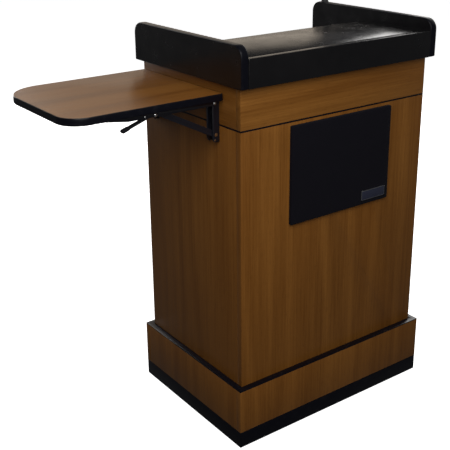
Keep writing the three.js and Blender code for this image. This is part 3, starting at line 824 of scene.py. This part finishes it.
def amplifier():
    low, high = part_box("amplifier")
    body = BODY_OF["amplifier"]
    refine("amplifier", "powder", 1.5 * MM, 3, "amplifier_case")
    bm = bmesh.new()
    louvre = 46 * MM
    for row in range(2):
        for step in range(14):
            x = low.x + 34 * MM + step * 16 * MM
            y = low.y + 30 * MM + row * (louvre + 14 * MM)
            block(bm, (x, y, high.z - 0.6 * MM), (x + 6 * MM, y + louvre, high.z + 1.2 * MM), 0.9 * MM, 3)
    new_piece("amplifier_louvres", bm, "powder", body)
    bm = bmesh.new()
    for x in (low.x + 10 * MM, high.x - 10 * MM):
        for z in (low.z + 9 * MM, high.z - 9 * MM):
            screw(bm, (x, high.y - 0.1 * MM, z), Y, 3 * MM, 1.6 * MM)
    new_piece("amplifier_screws", bm, "zinc", body)
    panel_z = (low.z + high.z) / 2
    bm = bmesh.new()
    for node in ("volume_knob", "tone_knob"):
        knob_low, knob_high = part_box(node)
        x = (knob_low.x + knob_high.x) / 2
        for tick in range(11):
            turn = math.radians(-150 + 30 * tick)
            out = Vector((math.sin(turn), 0, math.cos(turn)))
            across = Vector((out.z, 0, -out.x))
            start = Vector((x, high.y, panel_z)) + out * 15.5 * MM
            end = start + out * (3.2 if tick % 5 == 0 else 2.0) * MM
            ring = [start - across * 0.3 * MM, start + across * 0.3 * MM, end + across * 0.3 * MM,
                    end - across * 0.3 * MM]
            loft(bm, [[p - Y * 0.1 * MM for p in ring], [p + Y * 0.12 * MM for p in ring]])
    new_piece("amplifier_ticks", bm, "white", body)
    lamp_x = low.x + 62 * MM
    turned("power_lamp_bezel", mm([(0, -1), (3.4, -1), (3.4, 0.4), (2.9, 0.9), (2.4, 0.7), (0,
           0.7)]), (lamp_x, high.y, panel_z), Y, 28, "chrome", body)
    turned("power_lamp", mm([(0, 0.5), (2.2, 0.8), (1.8, 1.5), (1.0, 1.9), (0, 2.0)]), (lamp_x,
           high.y, panel_z), Y, 24, "lamp", body)


KNOB_RIBS = 36
RIB_WAVE = 0.35 * MM


def knob(node):
    low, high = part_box(node)
    centre = Vector(((low.x + high.x) / 2, low.y, (low.z + high.z) / 2))
    deep = high.y - low.y
    radius = (high.x - low.x) / 2
    bm = bmesh.new()
    stations = mm([(0, 0), (0, 2.6), (-0.8, 3.2), (-2.4, 3.4), (-2.6, 4.2)], u=radius)
    stations += mm([(-3.4, -1.6), (-4.0, -0.5), (-4.8, 0), (-6.5, 0), (-7.0, -0.5)], u=radius, v=deep)
    rings = [[centre]]
    for station, (r, h) in enumerate(stations):
        ribbed = station in (4, 5)
        ring = []
        for step in range(KNOB_RIBS * 4):
            a = 2 * math.pi * step / (KNOB_RIBS * 4)
            wave = RIB_WAVE * math.cos(KNOB_RIBS * a) if ribbed else 0
            ring.append(centre + Vector(((r + wave) * math.cos(a), h, (r + wave) * math.sin(a))))
        rings.append(ring)
    rings.append([centre + Vector((0, deep - 0.5 * MM, 0))])
    skin(bm, rings)
    new_piece(node + "_cap", bm, "plastic", BODY_OF[node], [node])
    bm = bmesh.new()
    block(bm, centre + Vector((-0.6 * MM, deep - 0.6 * MM, 1.5 * MM)),
          centre + Vector((0.6 * MM, deep - 0.2 * MM, radius - 7.2 * MM)), 0.15 * MM, 2)
    block(bm, centre + Vector((-0.6 * MM, 1.2 * MM, radius - 0.9 * MM)),
          centre + Vector((0.6 * MM, 2.4 * MM, radius - 0.02 * MM)), 0.15 * MM, 2)
    new_piece(node + "_pointer", bm, "white", BODY_OF[node])


def rocker():
    refine("power_rocker", "plastic", 0.8 * MM, 3, "power_rocker_cap")
    low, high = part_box("power_rocker")
    middle = (low.x + high.x) / 2
    bm = bmesh.new()
    block(bm, (middle - 2.4 * MM, high.y - 3.6 * MM, high.z - 5.0 * MM),
          (middle + 2.4 * MM, high.y - 3.15 * MM, high.z - 3.8 * MM), 0.15 * MM, 2)
    new_piece("power_rocker_mark", bm, "white", BODY_OF["power_rocker"])


# ---- Rear doors ----
def doors():
    for side in ("left", "right"):
        pull(side)
        hinges(side)
    lock()


def pull(side):
    """A round bar bent into a bow, with a flanged foot at each end."""
    node = side + "_door_pull"
    low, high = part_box(node)
    radius = (high.x - low.x) / 2
    x = (low.x + high.x) / 2
    bend = 12 * MM
    far = high.y - radius
    low_z = low.z + radius
    high_z = high.z - radius
    points = [(low.y, low_z)]
    points += arc((far - bend, low_z + bend), bend, -90, 0, 8)
    points += arc((far - bend, high_z - bend), bend, 0, 90, 8)
    points += [(low.y, high_z)]
    bm = bmesh.new()
    sweep(bm, [Vector((x, u, v)) for u, v in points], circle_section(radius, 16), X)
    for z in (low_z, high_z):
        lathe(bm, [(0, 0), (radius, 0), (radius, 1.6 * MM), (0, 1.6 * MM)], (x, low.y, z), Y, 28)
    new_piece(side + "_pull_bar", bm, "powder", BODY_OF[node], [node])


HINGE_BARREL = 1.9 * MM
HINGE_LEAF = 1.0 * MM
HINGE_HEIGHT = 52 * MM
HINGE_KNUCKLES = 5


def hinges(side):
    door = side + "_door"
    axis_x, axis_y, _ = JOINTS[door + "_hinge"]["pos_m"]
    inwards = 1 if side == "left" else -1
    door_low, door_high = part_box(door)
    back = door_high.y
    share = (door_high.z - door_low.z) / 2 - 75 * MM
    middle = (door_low.z + door_high.z) / 2
    moving = bmesh.new()
    fixed = bmesh.new()
    heads = {door: bmesh.new(), "cabinet": bmesh.new()}
    for z in (middle - share, middle, middle + share):
        bottom = z - HINGE_HEIGHT / 2
        step = HINGE_HEIGHT / HINGE_KNUCKLES
        for knuckle in range(HINGE_KNUCKLES):
            bm = moving if knuckle % 2 else fixed
            start = bottom + knuckle * step + 0.15 * MM
            knuckle_profile = mm([(-0.2, 0), (0, 0.2)], HINGE_BARREL)
            knuckle_profile += mm([(0, -0.5), (-0.2, -0.3)], HINGE_BARREL, step)
            profile = [(0, 0)] + knuckle_profile + [(0, step - 0.3 * MM)]
            lathe(bm, profile, (axis_x, axis_y, start), Z, 20)
        leaves = (moving, door, inwards, 26 * MM), (fixed, "cabinet", -inwards, 16 * MM)
        for bm, body, sign, wide in leaves:
            near = axis_x + sign * 1.2 * MM
            far = axis_x + sign * wide
            block(bm, (near, back + 0.1 * MM, bottom),
                  (far, back + 0.1 * MM + HINGE_LEAF, bottom + HINGE_HEIGHT), 0.3 * MM)
            for dz in (-HINGE_HEIGHT * 0.32, HINGE_HEIGHT * 0.32):
                screw(heads[body], ((near + 2 * far) / 3, back + HINGE_LEAF, z + dz), Y, 3 * MM, 1.1 * MM)
    new_piece(side + "_hinge_door_leaves", moving, "zinc", door)
    new_piece(side + "_hinge_frame_leaves", fixed, "zinc", "cabinet")
    new_piece(side + "_hinge_door_screws", heads[door], "chrome", door)
    new_piece(side + "_hinge_frame_screws", heads["cabinet"], "chrome", "cabinet")


def lock():
    refine("door_lock", "zinc", 0.4 * MM, 2, "door_lock_barrel")
    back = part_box("door_lock")[1].y
    x, _, z = JOINTS["door_lock_turn"]["pos_m"]
    bm = bmesh.new()
    for wide, proud, tall in ((0.7 * MM, 0.06 * MM, 4.2 * MM), (1.4 * MM, 0.05 * MM, 1.6 * MM)):
        block(bm, (x - wide, back - 0.5 * MM, z - tall), (x + wide, back + proud, z + tall), 0.1 * MM)
    new_piece("door_lock_keyway", bm, "plastic", BODY_OF["door_lock"])


# ---- Keyboard tray ----
def keyboard_tray():
    refine("keyboard_tray", "laminate", 1.2 * MM, 3)
    tray_low, tray_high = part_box("keyboard_tray")
    for side, sign in (("left", -1), ("right", 1)):
        node = "tray_slide_" + side
        low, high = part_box(node)
        wall_x = low.x if sign < 0 else high.x
        steel = 1.2 * MM
        lip = 4 * MM
        wide = high.x - low.x
        tall = high.z - low.z
        lower = [(0, 0), (wide, 0), (wide, lip), (wide - steel, lip), (wide - steel, steel), (steel, steel)]
        section = lower + [(u, tall - v) for u, v in reversed(lower)]
        bm = bmesh.new()
        rings = [[Vector((wall_x - sign * u, y, low.z + v)) for u, v in section] for y in (low.y, high.y)]
        loft(bm, rings)
        new_piece(node + "_channel", bm, "zinc", BODY_OF[node], [node])
        bm = bmesh.new()
        rail_out = wall_x - sign * 3.4 * MM
        rail_in = (tray_low.x if sign < 0 else tray_high.x) + sign * 0.3 * MM
        block(bm, (rail_out, tray_low.y + 2 * MM, low.z + 6.0 * MM),
              (rail_in, high.y - 3 * MM, high.z - 6.0 * MM), 1.0 * MM, 3)
        new_piece(node + "_rail", bm, "zinc", "keyboard_tray")


# ---- Side shelf and its brackets ----
SHELF_FRONT_CORNER = 60 * MM
SHELF_REAR_CORNER = 100 * MM
SHELF_INNER_CORNER = 6 * MM
SHELF_CROWN = 2 * MM
BRACKETS = ("front", "rear")
LEG_FLANGE = 14 * MM             # from the bracket's middle to the outside of the wall leg
ARM_FLANGE = 16.6 * MM           # and to the outside of the arm
FLUSH = 0.22 * MM                # how far a flush rivet stands out


def side_shelf():
    low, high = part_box("shelf_edge_trim")
    body = BODY_OF["side_shelf"]

    def outline(inset):
        inner = SHELF_INNER_CORNER - inset
        radii = (SHELF_FRONT_CORNER - inset, inner, inner, SHELF_REAR_CORNER - inset)
        return rounded_outline(low.xy, high.xy, radii, 20, inset)

    half = (high.z - low.z) / 2
    bm = bmesh.new()
    path = [Vector((u, v, (low.z + high.z) / 2)) for u, v in outline(SHELF_CROWN)]
    sweep(bm, path, moulding_section(half, SHELF_CROWN - 0.05 * MM, 0.2 * MM), Z, closed=True)
    new_piece("shelf_edge_moulding", bm, "moulding", body, ["shelf_edge_trim"])
    bm = bmesh.new()
    plate(bm, outline(SHELF_CROWN + GAP), lambda u, v, w: Vector((u, v, low.z + w)), 2 * half, 0.3 * MM, 2)
    new_piece("side_shelf_board", bm, "walnut_across", body, ["side_shelf"])


def bracket(end):
    leg_low, leg_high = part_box(end + "_wall_leg")
    arm_low, arm_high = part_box(end + "_arm")
    middle = (leg_low.y + leg_high.y) / 2
    wall = leg_high.x
    fold = JOINTS["shelf_fold"]["pos_m"]
    strut_pin = JOINTS[end + "_strut_turn"]["pos_m"]
    lever_pin = JOINTS[end + "_lever_squeeze"]["pos_m"]
    refine(end + "_wall_leg", "powder", 0.5 * MM, 2, end + "_leg_channel")
    refine(end + "_arm", "powder", 0.6 * MM, 2, end + "_arm_channel")
    refine(end + "_strut", "powder", 0.8 * MM, 3, end + "_strut_bar")
    refine(end + "_release_lever", "powder", 2.2 * MM, 4, end + "_lever_handle")

    # Rivet heads: the fold pin outside the arm, the strut's pin flush in the leg, the
    # lever's pin in the arm.
    pins = bmesh.new()
    heads = bmesh.new()
    latch = bmesh.new()
    latch_z = lever_pin[2] + 1 * MM
    for side in (-1, 1):
        out = (0, side, 0)
        leg = middle + side * LEG_FLANGE
        arm = middle + side * ARM_FLANGE
        rivet(heads, (fold[0], middle + side * (ARM_FLANGE + 0.3 * MM), fold[2]), out, 4.4 * MM, 1.7 * MM)
        rivet(pins, (strut_pin[0], leg, strut_pin[2]), out, 4.6 * MM, FLUSH)
        rivet(pins, (leg_low.x + 6 * MM, leg, leg_low.z + 6 * MM), out, 2.6 * MM, FLUSH)
        rivet(latch, (lever_pin[0], arm, latch_z), out, 4.4 * MM, 1.5 * MM)
        rivet(latch, (lever_pin[0] - 29 * MM, arm, latch_z), out, 2.4 * MM, 1.0 * MM)
    new_piece(end + "_pivot_rivets", pins, "chrome", "cabinet")
    new_piece(end + "_fold_rivets", heads, "zinc", "cabinet")
    new_piece(end + "_arm_rivets", latch, "chrome", "side_shelf")

    # Screws: the leg's into the cabinet, the arm's up into the shelf board.
    heads = bmesh.new()
    for z in (leg_low.z + 38 * MM, leg_low.z + 72 * MM):
        screw(heads, (wall - 2 * MM, middle + 6.5 * MM, z), (-1, 0, 0), 3.6 * MM, 2 * MM)
    new_piece(end + "_leg_screws", heads, "chrome", "cabinet")
    heads = bmesh.new()
    web_underside = arm_high.z - 3 * MM
    for x in (arm_low.x + 14 * MM, arm_low.x + 110 * MM, arm_low.x + 210 * MM):
        screw(heads, (x, middle + 7 * MM, web_underside), (0, 0, -1), 3.6 * MM, 2 * MM)
    new_piece(end + "_arm_screws", heads, "chrome", "side_shelf")


# ---- Casters ----
WHEEL_BORE = 4.5 * MM


def caster(end, side):
    fork = f"caster_fork_{end}_{side}"
    wheel = f"caster_wheel_{end}_{side}"
    refine(fork, "zinc", 0.6 * MM, 2, fork + "_plate")
    low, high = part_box(wheel)
    centre = (low + high) / 2
    radius = (high.z - low.z) / 2
    half = (high.x - low.x) / 2
    tread = [(0.72, -0.92), (0.90, -1), (0.955, -0.92), (0.99, -0.6), (1, 0), (0.99, 0.6), (0.955, 0.92),
             (0.90, 1), (0.72, 0.92), (0.70, 0), (0.72, -0.92)]
    turned(wheel + "_tyre", scaled(tread, radius, half), centre, X, FINE,
           "rubber", BODY_OF[wheel], [wheel])
    bm = bmesh.new()
    flank = [(0.26, -1), (0.30, -0.8), (0.34, -0.35), (0.60, -0.35), (0.66, -0.85), (0.715, -0.9)]
    flank += [(0.695, 0)] + [(u, -v) for u, v in reversed(flank)]
    hub = scaled(flank, radius, half)
    lathe(bm, [(WHEEL_BORE, -half)] + hub + [(WHEEL_BORE, half), (WHEEL_BORE, -half)], centre, X, FINE)
    for spoke in range(5):
        a = 2 * math.pi * spoke / 5
        out = Vector((0, math.cos(a), math.sin(a)))
        across = Vector((0, -out.z, out.y))
        rings = []
        for r in (0.31 * radius, 0.62 * radius):
            base = centre + out * r
            wide, thick = 0.7 * half, 1.6 * MM
            ring = [(-wide, -thick), (wide, -thick), (wide, thick), (-wide, thick)]
            rings.append([base + X * u + across * v for u, v in ring])
        loft(bm, rings)
    new_piece(wheel + "_hub", bm, "plastic", BODY_OF[wheel])
    bm = bmesh.new()
    for sign in (-1, 1):
        at = centre + X * sign * (half + 3 * MM)
        lathe(bm, mm([(0, 0), (6.2, 0), (6.2, 2.6), (5.4, 3.2), (0, 3.2)]), at, X * sign, 6)
    new_piece(fork + "_nuts", bm, "zinc", BODY_OF[fork])
    fork_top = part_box(fork)[1].z
    pivot = JOINTS[f"caster_swivel_{end}_{side}"]["pos_m"]
    turned(fork + "_race", mm([(0, -9.5), (15, -9.5), (19, -8.5), (21, -6), (0, -6)]), (pivot[0],
           pivot[1], fork_top), Z, 36, "zinc", BODY_OF[fork])


# ---- Microphone ----
NECK_RADIUS = 4.5 * MM
WIRE_PITCH = 1.1 * MM            # between rings; every third is a groove of the wound wire
ELBOW_HEIGHT = 90 * MM           # the neck's curve, from the bend joint
NECK_RISE = 136 * MM
NECK_REACH = 80 * MM


def microphone():
    socket_low, socket_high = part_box("mic_socket")
    at = Vector(((socket_low.x + socket_high.x) / 2, (socket_low.y + socket_high.y) / 2, socket_low.z))
    radius = (socket_high.x - socket_low.x) / 2
    tall = socket_high.z - socket_low.z
    profile = [(0, 0)] + mm([(0, 0), (0, 1.6), (-0.6, 2.2), (-1.6, 2.4)], u=radius)
    profile += [(radius - 1.6 * MM, 0.62 * tall), (radius - 2.4 * MM, 0.70 * tall)]
    profile += mm([(9.3, -0.8), (8.6, 0), (6.4, 0), (6.2, -1.0), (0, -1.0)], v=tall)
    turned("mic_socket_shell", profile, at, Z, 48, "plastic", BODY_OF["mic_socket"], ["mic_socket"])

    tilt = Vector(JOINTS["mic_tilt"]["pos_m"])
    bend = Vector(JOINTS["gooseneck_bend"]["pos_m"])
    lower_low, lower_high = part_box("gooseneck_lower")
    plug = (lower_high.x - lower_low.x) / 2
    turns = [math.radians(a) for a in range(0, 91, 15)]
    foot = [(plug * math.sin(a), -plug * math.cos(a)) for a in turns]
    body_top = 30.5 * MM
    grooves = []
    for groove in range(4):
        h = 5 * MM + groove * 3 * MM
        grooves += mm([(0, 0), (-0.6, 0.5), (-0.6, 1.3), (0, 1.8)], plug, h)
    collar = mm([(0, -1.5), (-0.8, 0)], plug, body_top) + mm([(5.4, 5), (5.0, 6), (0, 6)], v=body_top)
    turned("mic_plug", foot + grooves + collar, tilt, Z, 36, "plastic", "gooseneck_lower",
           ["gooseneck_lower"])

    # The flexible neck: a wound wire, straight up to the bend and then over towards the presenter.
    head_low, head_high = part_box("mic_head")
    away = (head_low + head_high) / 2 - at
    lean = Vector((away.x, away.y, 0)).normalized()
    elbow = bend + Z * ELBOW_HEIGHT
    end = bend + Z * NECK_RISE + lean * NECK_REACH
    start = tilt + Z * (body_top + 4 * MM)
    straight = [start + (bend - start) * step / 60 for step in range(60)]
    curved = []
    for step in range(101):
        t = step / 100
        curved.append(bend * (1 - t) ** 2 + elbow * 2 * t * (1 - t) + end * t * t)
    steps = resample(straight + curved, WIRE_PITCH)
    side = lean.cross(Z)
    bm = bmesh.new()
    rings = []
    for i, point in enumerate(steps):
        along = (steps[min(i + 1, len(steps) - 1)] - steps[max(i - 1, 0)]).normalized()
        out = along.cross(side).normalized()
        r = NECK_RADIUS - (0.42 * MM if i % 3 == 0 else 0.05 * MM)
        rings.append([point + (out * math.cos(a) + side * math.sin(a)) * r
                      for a in [2 * math.pi * k / 18 for k in range(18)]])
    skin(bm, [[steps[0]]] + rings + [[steps[-1]]])
    neck = new_piece("mic_neck", bm, "powder", None, ["gooseneck_upper"], smooth_up_to=50)
    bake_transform(neck)

    aim = (end - elbow).normalized()
    capsule = mm([(0, 0.3), (6.0, 0.3), (6.5, 0.8), (6.5, 8), (6.0, 8.4), (6.0, 9.4), (6.5, 9.8), (6.5, 27),
                  (0, 30)])
    turned("mic_capsule_body", capsule, end, aim, 36, "powder", "gooseneck_upper", ["mic_head"])
    bm = bmesh.new()
    profile = [(0, 24 * MM), (7.0 * MM, 24 * MM)]
    for step in range(19):
        t = step / 18
        h = 24 * MM + 49 * MM * t
        r = 15 * MM * math.sin(math.pi * (0.16 + 0.84 * t)) ** 0.55 * (0.80 + 0.20 * t)
        profile.append((max(r, 0), h) if step < 18 else (0, 73 * MM))
    lathe(bm, profile, end, aim, 40)
    rng = random.Random(4)
    for vertex in bm.verts:
        away = vertex.co - (end + aim * (vertex.co - end).dot(aim))
        if away.length > 8 * MM:
            vertex.co -= away.normalized() * rng.uniform(0, 0.35 * MM)
    screen = new_piece("mic_windscreen", bm, "foam", "gooseneck_upper", smooth_up_to=60)


def resample(points, step):
    """Points a given distance apart along a line of points."""
    made = [points[0]]
    left = step
    for a, b in zip(points, points[1:]):
        run = (b - a).length
        done = 0.0
        while run - done >= left:
            done += left
            made.append(a + (b - a) * (done / run))
            left = step
        left -= run - done
    made.append(points[-1])
    return made


# ---- Assembly ----
camera()
studio()
cabinet()
inside_fittings()
top()
grille()
badge()
loudspeaker()
amplifier()
for knob_node in ("volume_knob", "tone_knob"):
    knob(knob_node)
rocker()
doors()
keyboard_tray()
side_shelf()
for bracket_end in BRACKETS:
    bracket(bracket_end)
for caster_end in ("front", "rear"):
    for caster_side in ("left", "right"):
        caster(caster_end, caster_side)
microphone()
